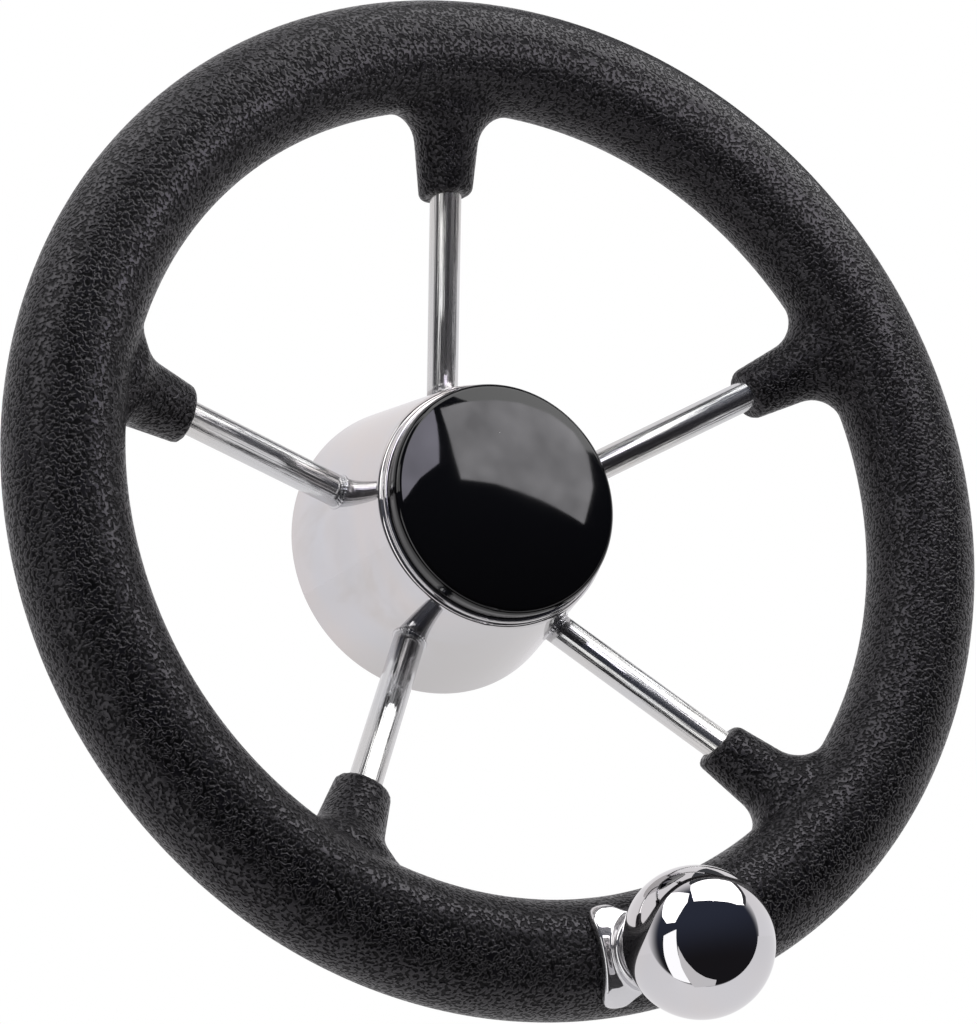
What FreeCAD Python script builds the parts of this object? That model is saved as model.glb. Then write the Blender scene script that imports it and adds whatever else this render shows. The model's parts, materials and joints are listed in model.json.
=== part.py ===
import FreeCAD, Part
import math
import os

# Five-spoke boat steering wheel with a foam grip, a conical stainless hub and a turning knob.
# Millimetres. Seen from the driver, X is right, Z is up and Y points forward along the helm shaft.
# The origin is on the shaft axis at the hub boss's front face, where the shaft nut seats.
# "Setback" is a distance behind the rim's middle plane, "reach" one in front of it.

Vector = FreeCAD.Vector

SHAFT_AXIS = Vector(0, 1, 0)
TO_DRIVER = Vector(0, -1, 0)
CENTRE = Vector(0, 0, 0)

# Rim and grip
wheel_diameter = 280.0
grip_diameter = 30.0
core_diameter = 16.0
core_wall = 1.5

# Spokes
spoke_count = 5
spoke_diameter = 9.0
spoke_wall = 1.2
spoke_angle = 25.1        # degrees, the way a spoke leans back from the rim plane to the hub
spoke_aim = 1.3           # setback of the spoke's axis where it crosses the core circle
first_spoke_at = 90.0     # degrees, the top spoke

# Moulded boots round the spokes' outer ends
boot_length = 38.4        # along the spoke, from the core circle to the boot's end face
boot_end_diameter = 15.5
boot_root_start = 4.0     # along the spoke, where the boot's cone starts inside the ring
boot_root_inset = 3.6     # the cone's start is this much smaller than the grip, on the radius
boot_blend = 7.5          # fillet into the grip ring
boot_edge_round = 2.0

# Hub
seat_setback = 30.0       # shaft nut's seat
bead_setback = 19.0       # rolled bead at the bell's front
bead_circle_radius = 33.15
bead_radius = 0.85
bell_front_radius = 34.8  # of the cone, level with the bead
bell_rear_setback = 66.7
bell_rear_radius = 44.1
bell_wall = 1.5
bell_edge_round = 0.6
lip_step = 0.3            # the inward lip's face behind the bead's centre
lip_width = 2.4           # inward from the bead circle
lip_bend = 0.6            # inside the bend between the cone and the lip

plate_setback = 33.0
plate_thickness = 2.5
plate_flange = 7.0
plate_bend = 1.0

# Boss with a keyed taper bore for a 3/4 inch shaft
boss_length = 33.0
boss_radius = 14.0
boss_shoulder_radius = 17.0
boss_shoulder = 4.0
boss_chamfer = 1.0
taper_mouth_diameter = 19.05
taper_ratio = 12.0        # length for one unit of diameter
parallel_length = 6.0     # plain bore at the small end
keyway_width = 4.76
keyway_depth = 1.6        # past the taper's mouth

# Centre cap and its retaining ring
cap_radius = 33.0
cap_proud = 4.6           # side wall in front of the lip, under the edge rounding
cap_bead_gap = 0.3
cap_edge_round = 1.8
cap_dome = 3.6
cap_wall = 2.2
cap_skirt_clearance = 0.3
cap_skirt_length = 7.2
seal_section = 0.95       # radius of the ring's round section
seal_bite = 0.55          # how far the ring stands out past the mouth's edge
seal_gap = 0.15           # between the ring and the lip it snaps behind

# Turning knob on the rim
knob_at = 270.0           # degrees, midway between the two lower spokes
ball_radius = 17.8
ball_wall = 1.6
ball_gap = 0.4            # running gap between the neck and the ball
neck_radius = 7.2
neck_top_reach = 25.6
ball_past_neck = 16.0     # from the neck's end to the ball's centre
neck_root_round = 1.0
collar_radius = 9.8
collar_top_reach = 19.4
collar_round = 1.3
saddle_half_width = 12.0  # along the rim
saddle_half_height = 12.6 # across the rim, at the ears
saddle_waist = 8.8        # across the rim, between the ears
saddle_ear = 5.4          # from the middle to where an ear's edge turns in to the waist
saddle_corner_round = 4.5
saddle_ear_round = 3.0
saddle_thickness = 2.2
saddle_edge_round = 0.8
sleeve_wall = 1.5
sleeve_end = 1.6
shoulder_width = 1.1      # the sleeve's end shoulder that stops the front bearing

spindle_radius = 3.0
spindle_head_radius = 4.8
spindle_head_height = 1.5
spindle_hole_clearance = 0.05
rim_hole_clearance = 0.3

bearing_outer_radius = 7.5
bearing_width = 5.0
bearing_ring_section = 1.2
bearing_ball_radius = 1.3
bearing_ball_count = 7
bearing_ball_clearance = 0.12
bearing_spacing = 5.5
thrust_washer_thickness = 2.2
thrust_washer_radius = 4.4
circlip_thickness = 0.8
circlip_groove = 0.7
circlip_width = 1.5
circlip_gap = 4.0

# Fixing on the back of the rim
rear_washer_radius = 8.0
rear_washer_depth = 2.6   # at its middle, behind the grip
nut_across_flats = 10.0
nut_height = 5.0
nut_dome_radius = 4.3
spindle_end_margin = 1.0  # between the spindle's end and the inside of the nut's dome

# Places worked out from the sizes above
core_radius = (wheel_diameter - grip_diameter) / 2
rim_y = -seat_setback
bead_y = rim_y + bead_setback
bell_rear_y = rim_y + bell_rear_setback
plate_y = rim_y + plate_setback
lean = math.radians(spoke_angle)
bell_slope = (bell_rear_radius - bell_front_radius) / (bell_rear_y - bead_y)
bell_wall_across = bell_wall * math.hypot(1, bell_slope)
lip_y = bead_y + lip_step
mouth_radius = bead_circle_radius - lip_width
far = wheel_diameter      # longer than anything a cutter has to clear
hexagon_sides = 6


def bell_radius(y):
    """Outer radius of the conical bell at depth y."""
    return bell_front_radius + bell_slope * (y - bead_y)


def bell_inner_radius(y):
    """Inner radius of the conical bell at depth y."""
    return bell_radius(y) - bell_wall_across


def rounded_wire(corners):
    """Closed wire in the XY plane through (x, y, round) corners, each rounded by its own radius."""
    edges = []
    starts = []
    ends = []
    count = len(corners)
    for i, (x, y, radius) in enumerate(corners):
        here = Vector(x, y, 0)
        before = Vector(corners[i - 1][0], corners[i - 1][1], 0)
        after = Vector(corners[(i + 1) % count][0], corners[(i + 1) % count][1], 0)
        if radius <= 0:
            starts.append(here)
            ends.append(here)
            continue
        back = (before - here).normalize()
        ahead = (after - here).normalize()
        half = back.getAngle(ahead) / 2
        run = radius / math.tan(half)
        middle = (back + ahead).normalize()
        first = here + back * run
        last = here + ahead * run
        nearest = here + middle * (radius / math.sin(half) - radius)
        starts.append(first)
        ends.append(last)
        edges.append(Part.Arc(first, nearest, last).toShape())
    for i in range(count):
        leave = ends[i]
        arrive = starts[(i + 1) % count]
        if leave.distanceToPoint(arrive) > 1e-6:
            edges.append(Part.LineSegment(leave, arrive).toShape())
    return Part.Wire(Part.__sortEdges__(edges))


def turned(corners):
    """Solid turned about the Y axis from (radius, y, round) corners."""
    face = Part.Face(rounded_wire(corners))
    solid = face.revolve(CENTRE, SHAFT_AXIS, 360)
    return Part.Solid(solid) if solid.ShapeType != "Solid" else solid


def at_angle(shape, degrees):
    """A copy of a shape made for the +X side of the wheel, turned to an angle seen by the driver."""
    copy = shape.copy()
    copy.rotate(CENTRE, TO_DRIVER, degrees)
    return copy


def on_knob_axis(shape):
    """A shape made about the Y axis with its middle plane at y = 0, moved to the knob's axis."""
    angle = math.radians(knob_at)
    copy = shape.copy()
    copy.translate(Vector(core_radius * math.cos(angle), rim_y, core_radius * math.sin(angle)))
    return copy


def knob_turned(corners):
    """Solid turned about the knob's axis from (radius, reach, round) corners."""
    return on_knob_axis(turned([(radius, -reach, bend) for radius, reach, bend in corners]))


def knob_cylinder(radius, low_reach, high_reach):
    """Cylinder on the knob's axis between two reaches."""
    return knob_turned(rectangle(0, radius, low_reach, high_reach))


def rectangle(inner, outer, low, high, bend=0.0):
    """Corners of a rectangular section, with rounded outer corners when bend is given."""
    return [(inner, low, 0), (outer, low, bend), (outer, high, bend), (inner, high, 0)]


def ring_section(section_radius):
    """Torus round the core circle with the given section radius."""
    return Part.makeTorus(core_radius, section_radius, Vector(0, rim_y, 0), SHAFT_AXIS)


def spoke_point(along):
    """Point on the axis of the +X spoke, at a distance from the core circle towards the hub."""
    radius = core_radius - along * math.cos(lean)
    depth = rim_y + spoke_aim + along * math.sin(lean)
    return Vector(radius, depth, 0)


def spoke_direction():
    """Direction of the +X spoke from the rim towards the hub."""
    return (spoke_point(1) - spoke_point(0)).normalize()


def make_rim_core():
    """Bent tube inside the grip, drilled for the knob's spindle."""
    core = ring_section(core_diameter / 2).cut(ring_section(core_diameter / 2 - core_wall))
    return core.cut(rim_hole())


def rim_hole():
    """Hole through the rim for the spindle."""
    return knob_cylinder(spindle_radius + rim_hole_clearance, -grip_diameter, grip_diameter)


def spoke_blank(radius):
    """Round bar along the +X spoke's axis, long enough to reach inside both the core and the bell."""
    length = (core_radius - bead_circle_radius) / math.cos(lean)
    return Part.makeCylinder(radius, length, spoke_point(0), spoke_direction())


def bell_envelope():
    """The bell's outer cone, filled."""
    start = bead_y - bead_radius
    height = bell_rear_y - start
    return Part.makeCone(bell_radius(start), bell_rear_radius, height, Vector(0, start, 0), SHAFT_AXIS)


def make_spoke():
    """Straight tube coped to the core tube at one end and to the bell's cone at the other."""
    tube = spoke_blank(spoke_diameter / 2).cut(spoke_blank(spoke_diameter / 2 - spoke_wall))
    return tube.cut(ring_section(core_diameter / 2)).cut(bell_envelope())


def make_boot():
    """Tapered boot moulded round the outer end of the +X spoke, still solid."""
    length = boot_length - boot_root_start
    root_radius = grip_diameter / 2 - boot_root_inset
    start = spoke_point(boot_root_start)
    boot = Part.makeCone(root_radius, boot_end_diameter / 2, length, start, spoke_direction())
    end = max(boot.Edges, key=lambda edge: edge.CenterOfMass.distanceToPoint(start))
    return boot.makeFillet(boot_edge_round, [end])


def faces_beside(shape, edge):
    """Kinds of surface that meet at an edge."""
    return sorted(type(face.Surface).__name__ for face in shape.ancestorsOfType(edge, Part.Face))


def make_grip():
    """One moulded foam piece: the ring, five blended boots, and the hollow that holds the steel."""
    body = ring_section(grip_diameter / 2)
    for number in range(spoke_count):
        body = body.fuse(at_angle(make_boot(), spoke_angle_at(number)))
    roots = [edge for edge in body.Edges if faces_beside(body, edge) == ["Cone", "Toroid"]]
    body = body.makeFillet(boot_blend, roots)
    body = body.cut(ring_section(core_diameter / 2))
    for number in range(spoke_count):
        body = body.cut(at_angle(spoke_blank(spoke_diameter / 2), spoke_angle_at(number)))
    return body.cut(rim_hole())


def spoke_angle_at(number):
    """Angle of a spoke, counted from the top one anticlockwise as the driver sees it."""
    return first_spoke_at + number * 360.0 / spoke_count


def make_hub_bell():
    """Pressed cone, open at the back, with an inward lip and a rolled bead at the front."""
    back_of_lip = lip_y + bell_wall
    shell = turned([
        (mouth_radius, lip_y, 0),
        (bell_radius(lip_y), lip_y, lip_bend + bell_wall),
        (bell_rear_radius, bell_rear_y, bell_edge_round),
        (bell_rear_radius - bell_wall_across, bell_rear_y, bell_edge_round),
        (bell_inner_radius(back_of_lip), back_of_lip, lip_bend),
        (mouth_radius, back_of_lip, 0),
    ])
    bead = Part.makeTorus(bead_circle_radius, bead_radius, Vector(0, bead_y, 0), SHAFT_AXIS)
    return shell.fuse(bead)


def make_hub_plate():
    """Dished plate welded inside the bell, with a hole for the boss."""
    front = plate_y
    back = plate_y + plate_thickness
    edge = plate_y + plate_flange
    across = plate_thickness * math.hypot(1, bell_slope)
    return turned([
        (boss_radius, front, 0),
        (bell_inner_radius(front), front, plate_bend + plate_thickness),
        (bell_inner_radius(edge), edge, 0),
        (bell_inner_radius(edge) - across, edge, 0),
        (bell_inner_radius(back) - across, back, plate_bend),
        (boss_radius, back, 0),
    ])


def make_hub_boss():
    """Turned boss: nut seat, shoulder behind the plate, taper bore with a plain end, and a keyway."""
    shoulder_y = plate_y + plate_thickness
    mouth = taper_mouth_diameter / 2
    small = mouth - (boss_length - parallel_length) / taper_ratio / 2
    boss = turned([
        (small, 0, 0),
        (boss_radius - boss_chamfer, 0, 0),
        (boss_radius, boss_chamfer, 0),
        (boss_radius, shoulder_y, 0),
        (boss_shoulder_radius, shoulder_y, 0),
        (boss_shoulder_radius, shoulder_y + boss_shoulder, 0),
        (boss_radius, shoulder_y + boss_shoulder, 0),
        (boss_radius, boss_length - boss_chamfer, 0),
        (boss_radius - boss_chamfer, boss_length, 0),
        (mouth, boss_length, 0),
        (small, parallel_length, 0),
    ])
    corner = Vector(-keyway_width / 2, -boss_chamfer, 0)
    length = boss_length + 2 * boss_chamfer
    keyway = Part.makeBox(keyway_width, length, mouth + keyway_depth, corner)
    return boss.cut(keyway)


def cap_groove_y():
    """Middle of the groove in the cap's skirt, just behind the bell's lip."""
    return lip_y + bell_wall + seal_gap + seal_section


def seal_ring_radius():
    """Middle circle of the ring that holds the cap."""
    return mouth_radius + seal_bite - seal_section


def make_centre_cap():
    """Black moulded cap: domed front, rounded edge, a foot on the lip inside the bead, and a grooved skirt."""
    crown = lip_y - cap_proud - cap_edge_round - cap_dome
    flange_back = bead_y - bead_radius - cap_bead_gap
    foot_radius = bead_circle_radius - bead_radius - cap_bead_gap
    skirt = mouth_radius - cap_skirt_clearance
    skirt_end = lip_y + cap_skirt_length
    blank = turned([
        (0, crown, 0),
        (cap_radius, crown, 0),
        (cap_radius, flange_back, 0),
        (foot_radius, flange_back, 0),
        (foot_radius, lip_y, 0),
        (skirt, lip_y, 0),
        (skirt, skirt_end, 0),
        (0, skirt_end, 0),
    ])
    dome_radius = (cap_radius ** 2 + cap_dome ** 2) / (2 * cap_dome)
    dome_centre = Vector(0, crown + dome_radius, 0)
    cap = blank.common(Part.makeSphere(dome_radius, dome_centre))
    edges = [edge for edge in cap.Edges if faces_beside(cap, edge) == ["Cylinder", "Sphere"]]
    cap = cap.makeFillet(cap_edge_round, edges)
    inside = turned(rectangle(0, skirt - cap_wall, crown, skirt_end))
    cap = cap.cut(inside.common(Part.makeSphere(dome_radius - cap_wall, dome_centre)))
    floor = seal_ring_radius() - seal_section
    groove = rectangle(floor, skirt + seal_section, cap_groove_y() - seal_section,
                       cap_groove_y() + seal_section)
    return cap.cut(turned(groove))


def make_cap_seal():
    """Rubber ring in the skirt's groove, which snaps behind the lip."""
    return Part.makeTorus(seal_ring_radius(), seal_section, Vector(0, cap_groove_y(), 0), SHAFT_AXIS)


def saddle_plan():
    """Bar along the knob's axis with the saddle's outline: two ears above, two below, and a waist between."""
    wide = saddle_half_width
    high = saddle_half_height
    outline = []
    for side in (1, -1):
        outline.append((side * wide, -side * high, saddle_corner_round))
        outline.append((side * wide, side * high, saddle_corner_round))
        outline.append((side * saddle_ear, side * high, saddle_ear_round))
        outline.append((0, side * saddle_waist, saddle_ear_round))
        outline.append((-side * saddle_ear, side * high, saddle_ear_round))
    face = Part.Face(rounded_wire(outline))
    face.rotate(CENTRE, Vector(1, 0, 0), 90)
    return on_knob_axis(face.extrude(TO_DRIVER * grip_diameter))


def make_knob_base():
    """Polished base: a saddle on the grip, a collar and the neck that the ball turns on."""
    saddle = saddle_plan().common(ring_section(grip_diameter / 2 + saddle_thickness))
    rims = [edge for edge in saddle.Edges if faces_beside(saddle, edge).count("Toroid") == 1]
    saddle = saddle.makeFillet(saddle_edge_round, rims)
    post = knob_turned([
        (0, 0, 0),
        (collar_radius, 0, 0),
        (collar_radius, collar_top_reach, collar_round),
        (neck_radius, collar_top_reach, neck_root_round),
        (neck_radius, neck_top_reach, 0),
        (0, neck_top_reach, 0),
    ])
    base = saddle.fuse(post).cut(ring_section(grip_diameter / 2))
    base = base.cut(knob_cylinder(grip_diameter, -grip_diameter, 0))
    return base.cut(knob_cylinder(spindle_radius + spindle_hole_clearance, 0, far))


def rear_bearing_reach():
    """Reach of the rear bearing's back face."""
    return neck_top_reach + thrust_washer_thickness


def front_bearing_reach():
    """Reach of the front bearing's back face."""
    return rear_bearing_reach() + bearing_width + bearing_spacing


def bearing_front_reach():
    """Reach of the front bearing's front face, where the spindle's head and the sleeve's end start."""
    return front_bearing_reach() + bearing_width


def make_knob_ball():
    """Hollow ball with an open back and an inner sleeve for the bearings."""
    centre = knob_place(neck_top_reach + ball_past_neck)
    back = neck_top_reach + ball_gap
    top = bearing_front_reach()
    ball = Part.makeSphere(ball_radius, centre)
    hollow = Part.makeSphere(ball_radius - ball_wall, centre)
    sleeve = knob_cylinder(bearing_outer_radius + sleeve_wall, back, top + sleeve_end)
    ball = ball.cut(hollow.cut(sleeve))
    ball = ball.cut(knob_cylinder(ball_radius, 0, back))
    ball = ball.cut(knob_cylinder(bearing_outer_radius, back, top))
    ball = ball.cut(knob_cylinder(bearing_outer_radius - shoulder_width, top, top + 2 * sleeve_end))
    groove = rear_bearing_reach() - circlip_thickness
    clip_radius = bearing_outer_radius + circlip_groove
    return ball.cut(knob_cylinder(clip_radius, groove, rear_bearing_reach()))


def knob_place(reach):
    """Point on the knob's axis."""
    angle = math.radians(knob_at)
    return Vector(core_radius * math.cos(angle), rim_y - reach, core_radius * math.sin(angle))


def bearing_pitch_radius():
    """Circle of the bearing balls' centres."""
    return (bearing_outer_radius + spindle_radius) / 2


def race(reach):
    """Torus that cuts a ball groove into both rings of a bearing."""
    middle = knob_place(reach + bearing_width / 2)
    section = bearing_ball_radius + bearing_ball_clearance
    return Part.makeTorus(bearing_pitch_radius(), section, middle, SHAFT_AXIS)


def make_bearing_outer(reach):
    """Outer ring of the bearing whose back face is at this reach."""
    inner = bearing_outer_radius - bearing_ring_section
    ring = knob_turned(rectangle(inner, bearing_outer_radius, reach, reach + bearing_width))
    return ring.cut(race(reach))


def make_bearing_inner(reach):
    """Inner ring of the bearing whose back face is at this reach."""
    outer = spindle_radius + bearing_ring_section
    ring = knob_turned(rectangle(spindle_radius, outer, reach, reach + bearing_width))
    return ring.cut(race(reach))


def make_bearing_balls(reach):
    """The balls of the bearing whose back face is at this reach, as one group."""
    balls = []
    for number in range(bearing_ball_count):
        angle = 2 * math.pi * number / bearing_ball_count
        pitch = bearing_pitch_radius()
        offset = Vector(pitch * math.cos(angle), 0, pitch * math.sin(angle))
        balls.append(Part.makeSphere(bearing_ball_radius, knob_place(reach + bearing_width / 2) + offset))
    return Part.makeCompound(balls)


def make_outer_spacer():
    """Tube between the bearings' outer rings."""
    low = rear_bearing_reach() + bearing_width
    inner = bearing_outer_radius - bearing_ring_section
    return knob_turned(rectangle(inner, bearing_outer_radius, low, front_bearing_reach()))


def make_inner_spacer():
    """Tube on the spindle between the bearings' inner rings."""
    low = rear_bearing_reach() + bearing_width
    outer = spindle_radius + bearing_ring_section
    return knob_turned(rectangle(spindle_radius, outer, low, front_bearing_reach()))


def make_thrust_washer():
    """Washer between the neck and the rear bearing's inner ring."""
    section = rectangle(spindle_radius, thrust_washer_radius, neck_top_reach, rear_bearing_reach())
    return knob_turned(section)


def make_bearing_circlip():
    """Open ring in the sleeve's groove that keeps the bearings in the ball."""
    outer = bearing_outer_radius + circlip_groove
    low = rear_bearing_reach() - circlip_thickness
    ring = knob_turned(rectangle(outer - circlip_width, outer, low, rear_bearing_reach()))
    corner = knob_place(rear_bearing_reach() + circlip_thickness) - Vector(circlip_gap / 2, 0, 0)
    opening = Part.makeBox(circlip_gap, 3 * circlip_thickness, 2 * outer, corner)
    return ring.cut(opening)


def washer_back_reach():
    """Reach of the rear washer's flat back, behind the rim."""
    return -(grip_diameter / 2 + rear_washer_depth)


def nut_back_reach():
    """Reach of the far side of the nut's hexagon."""
    return washer_back_reach() - nut_height


def make_rear_washer():
    """Saddle washer under the nut, hollowed to the back of the grip."""
    blank = knob_cylinder(rear_washer_radius, washer_back_reach(), 0)
    washer = blank.cut(ring_section(grip_diameter / 2))
    return washer.cut(rim_hole())


def spindle_end_reach():
    """Reach of the spindle's rear end, inside the nut's dome."""
    return nut_back_reach() - nut_dome_radius + 2 * spindle_end_margin


def make_rear_nut():
    """Domed nut on the spindle's rear end."""
    corner_radius = nut_across_flats / 2 / math.cos(math.pi / hexagon_sides)
    corners = []
    for number in range(hexagon_sides + 1):
        angle = 2 * math.pi * number / hexagon_sides
        corners.append(Vector(corner_radius * math.cos(angle), 0, corner_radius * math.sin(angle)))
    hexagon = Part.Face(Part.makePolygon(corners)).extrude(SHAFT_AXIS * nut_height)
    hexagon = on_knob_axis(hexagon)
    hexagon.translate(TO_DRIVER * washer_back_reach())
    round_off = knob_cylinder(corner_radius, nut_back_reach(), washer_back_reach())
    dome = Part.makeSphere(nut_dome_radius, knob_place(nut_back_reach()))
    nut = hexagon.common(round_off).fuse(dome)
    return nut.cut(knob_cylinder(spindle_radius, spindle_end_reach() - spindle_end_margin / 2, 0))


def make_knob_spindle():
    """Long screw through the ball's bearings, the base and the rim."""
    head = bearing_front_reach()
    return knob_turned([
        (0, spindle_end_reach(), 0),
        (spindle_radius, spindle_end_reach(), 0),
        (spindle_radius, head, 0),
        (spindle_head_radius, head, 0),
        (spindle_head_radius, head + spindle_head_height, 0),
        (0, head + spindle_head_height, 0),
    ])


def build_nodes():
    """Every piece of the wheel by name."""
    nodes = {
        "rim_core": make_rim_core(),
        "grip": make_grip(),
        "hub_bell": make_hub_bell(),
        "hub_plate": make_hub_plate(),
        "hub_boss": make_hub_boss(),
        "centre_cap": make_centre_cap(),
        "cap_seal": make_cap_seal(),
        "knob_base": make_knob_base(),
        "knob_ball": make_knob_ball(),
        "knob_spindle": make_knob_spindle(),
        "thrust_washer": make_thrust_washer(),
        "inner_spacer": make_inner_spacer(),
        "outer_spacer": make_outer_spacer(),
        "bearing_circlip": make_bearing_circlip(),
        "rear_washer": make_rear_washer(),
        "rear_nut": make_rear_nut(),
    }
    spoke = make_spoke()
    for number in range(spoke_count):
        nodes["spoke_%d" % (number + 1)] = at_angle(spoke, spoke_angle_at(number))
    for side, reach in (("rear", rear_bearing_reach()), ("front", front_bearing_reach())):
        nodes[side + "_bearing_outer"] = make_bearing_outer(reach)
        nodes[side + "_bearing_inner"] = make_bearing_inner(reach)
        nodes[side + "_bearing_balls"] = make_bearing_balls(reach)
    return nodes


os.makedirs("parts", exist_ok=True)
for name, shape in build_nodes().items():
    shape.exportStep(os.path.join("parts", name + ".step"))
    print(name, shape.isValid(), len(shape.Solids), round(shape.Volume, 1))
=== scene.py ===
import json
import math

import bpy
import numpy as np
from mathutils import Matrix, Vector


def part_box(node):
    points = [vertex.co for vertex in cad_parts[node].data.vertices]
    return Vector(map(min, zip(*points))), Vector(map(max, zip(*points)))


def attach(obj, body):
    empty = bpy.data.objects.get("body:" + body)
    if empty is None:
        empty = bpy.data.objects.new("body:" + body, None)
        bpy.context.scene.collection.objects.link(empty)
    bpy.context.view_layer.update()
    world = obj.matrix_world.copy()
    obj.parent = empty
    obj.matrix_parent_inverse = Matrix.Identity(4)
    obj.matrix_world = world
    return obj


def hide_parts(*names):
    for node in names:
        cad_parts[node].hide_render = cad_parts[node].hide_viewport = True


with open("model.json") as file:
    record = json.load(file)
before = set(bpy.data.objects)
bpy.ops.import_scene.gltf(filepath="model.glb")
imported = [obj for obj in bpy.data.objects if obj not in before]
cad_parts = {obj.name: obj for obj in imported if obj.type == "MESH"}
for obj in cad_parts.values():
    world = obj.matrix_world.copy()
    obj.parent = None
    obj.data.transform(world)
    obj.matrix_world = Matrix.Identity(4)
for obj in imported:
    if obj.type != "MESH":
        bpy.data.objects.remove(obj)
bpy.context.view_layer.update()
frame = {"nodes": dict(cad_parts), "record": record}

MM = 0.001
WHEEL = "wheel"
KNOB = "knob"

# Sizes of the wheel in millimetres, and angles in radians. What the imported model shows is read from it.
LOW = {name: np.array(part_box(name)[0]) / MM for name in frame["nodes"]}
HIGH = {name: np.array(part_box(name)[1]) / MM for name in frame["nodes"]}

GRIP_RADIUS = 15.0
RIM_Y = float(LOW["rim_core"][1] + HIGH["rim_core"][1]) / 2
CORE_TUBE_RADIUS = float(HIGH["rim_core"][1] - LOW["rim_core"][1]) / 2
CORE_RADIUS = float(HIGH["rim_core"][2]) - CORE_TUBE_RADIUS
SPOKES = 5
SPOKE_RADIUS = float(HIGH["spoke_1"][0])
SPOKE_LEAN = math.radians(25.1)
SPOKE_AIM = 1.3
BOOT_LENGTH = 38.1
BOOT_END_RADIUS = 7.56
BOOT_TAPER = math.radians(5.6)
BOOT_END_TILT = math.radians(8.0)
BOOT_SET_BACK = 0.38
BOOT_EDGE_ROUND = 1.7
BOOT_BLEND = 9.0
BLEND_STARTS = 7.1
BLEND_FULL = 16.1
GRIP_CELL = 1.22

SPOKE_MEETS_AFTER = 60.0
SPOKE_MEETS_BEFORE = 110.0
SPOKE_SUNK = 0.25
SPOKE_CORE_GAP = 1.0
WELD_RADIUS = 0.6
WELD_HEIGHT = 0.8
WELD_RIPPLES = 30
HEAT_REACH = 4.0

BELL_REAR_Y = float(HIGH["hub_bell"][1])
BELL_REAR_RADIUS = float(HIGH["hub_bell"][0])
BEAD_RADIUS = 0.85
BEAD_Y = float(LOW["hub_bell"][1]) + BEAD_RADIUS
BEAD_CIRCLE = 33.15
BELL_FRONT_RADIUS = 34.8
BELL_WALL = 1.5
BELL_REAR_ROUND = 0.6
LIP_Y = BEAD_Y + 0.3
MOUTH_RADIUS = BEAD_CIRCLE - 2.4
LIP_BEND = 0.6
BELL_SLOPE = (BELL_REAR_RADIUS - BELL_FRONT_RADIUS) / (BELL_REAR_Y - BEAD_Y)

# The rolled bead's arc in degrees, and the heights between which the bell's colour is painted darker towards
# the bottom, as painted shade
BEAD_STARTS = 200
BEAD_TURN = 235
PAINTED_SHADE_STARTS_Z = -22.0
PAINTED_SHADE_FULL_Z = -42.0
PAINTED_SHADE_SHARE = 0.8

CAP_RADIUS = float(HIGH["centre_cap"][0])
CAP_FRONT_Y = float(LOW["centre_cap"][1])
CAP_BACK_Y = float(HIGH["centre_cap"][1])
CAP_DOME = 3.6
CAP_EDGE_ROUND = 2.2
CAP_BEAD_GAP = 0.3
CAP_FLANGE_BACK = BEAD_Y - BEAD_RADIUS - CAP_BEAD_GAP
CAP_FOOT = BEAD_CIRCLE - BEAD_RADIUS - CAP_BEAD_GAP
CAP_SKIRT = MOUTH_RADIUS - 0.3
CAP_WALL = 2.2
CAP_FLANGE_ROUND = 0.25
CAP_SKIRT_ROUND = 0.2
CAP_INSIDE_ROUND = 0.5

KNOB_Z = -CORE_RADIUS
BALL_RADIUS = float(HIGH["knob_ball"][0])
BALL_Y = float(LOW["knob_ball"][1]) + BALL_RADIUS
BALL_BACK_Y = float(HIGH["knob_ball"][1])
BALL_HOLE = 7.5
BALL_HOLE_DEPTH = 3.0
BALL_BACK_ROUND = 0.5
BALL_HOLE_ROUND = 0.4
NECK_RADIUS = 7.2
NECK_FRONT_Y = float(LOW["knob_base"][1])
NECK_ROOT = 1.0
NECK_EDGE_ROUND = 0.3
COLLAR_RADIUS = 9.8
COLLAR_FRONT_Y = RIM_Y - 19.4
COLLAR_EDGE_ROUND = 1.3
COLLAR_ROOT = 0.7
SADDLE_WIDE = float(HIGH["knob_base"][0])
SADDLE_HIGH = 12.6
SADDLE_WAIST = 8.8
SADDLE_EAR = 5.4
SADDLE_THICKNESS = 2.2
SADDLE_CORNER_ROUND = 4.5
SADDLE_EAR_ROUND = 3.0
SADDLE_EDGE_ROUND = 0.9
SADDLE_PAST_COLLAR = 0.25


# Geometry helpers

def new_object(name, vertices, faces, body, replaced=()):
    """Mesh object from millimetre vertices, riding on a body and standing for CAD nodes."""
    mesh = bpy.data.meshes.new(name)
    mesh.from_pydata((np.asarray(vertices, float) * MM).tolist(), [], faces)
    mesh.validate()
    mesh.update()
    mesh.polygons.foreach_set("use_smooth", [True] * len(mesh.polygons))
    piece = bpy.data.objects.new(name, mesh)
    bpy.context.scene.collection.objects.link(piece)
    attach(piece, body)
    if replaced:
        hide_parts(*replaced)
    return piece


def rounded_profile(corners, steps=8, support=0.08):
    """Points along (radius, y, round) corners: arcs at the corners, and support points beside each arc."""
    points = []
    count = len(corners)
    for i, (radius, y, bend) in enumerate(corners):
        here = np.array([radius, y], float)
        if i in (0, count - 1) or bend <= 0:
            points.append(here)
            continue
        back = np.array(corners[i - 1][:2], float) - here
        ahead = np.array(corners[i + 1][:2], float) - here
        back /= np.linalg.norm(back)
        ahead /= np.linalg.norm(ahead)
        half = math.acos(max(-1, min(1, float(back @ ahead)))) / 2
        run = bend / math.tan(half)
        middle = (back + ahead) / np.linalg.norm(back + ahead)
        centre = here + middle * (bend / math.sin(half))
        first = here + back * run - centre
        last = here + ahead * run - centre
        points.append(centre + first + back * support)
        turn = math.pi - 2 * half
        for k in range(steps + 1):
            part = k / steps
            blend = (math.sin((1 - part) * turn) * first + math.sin(part * turn) * last) / math.sin(turn)
            points.append(centre + blend)
        points.append(centre + last + ahead * support)
    return np.array(points)


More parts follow.
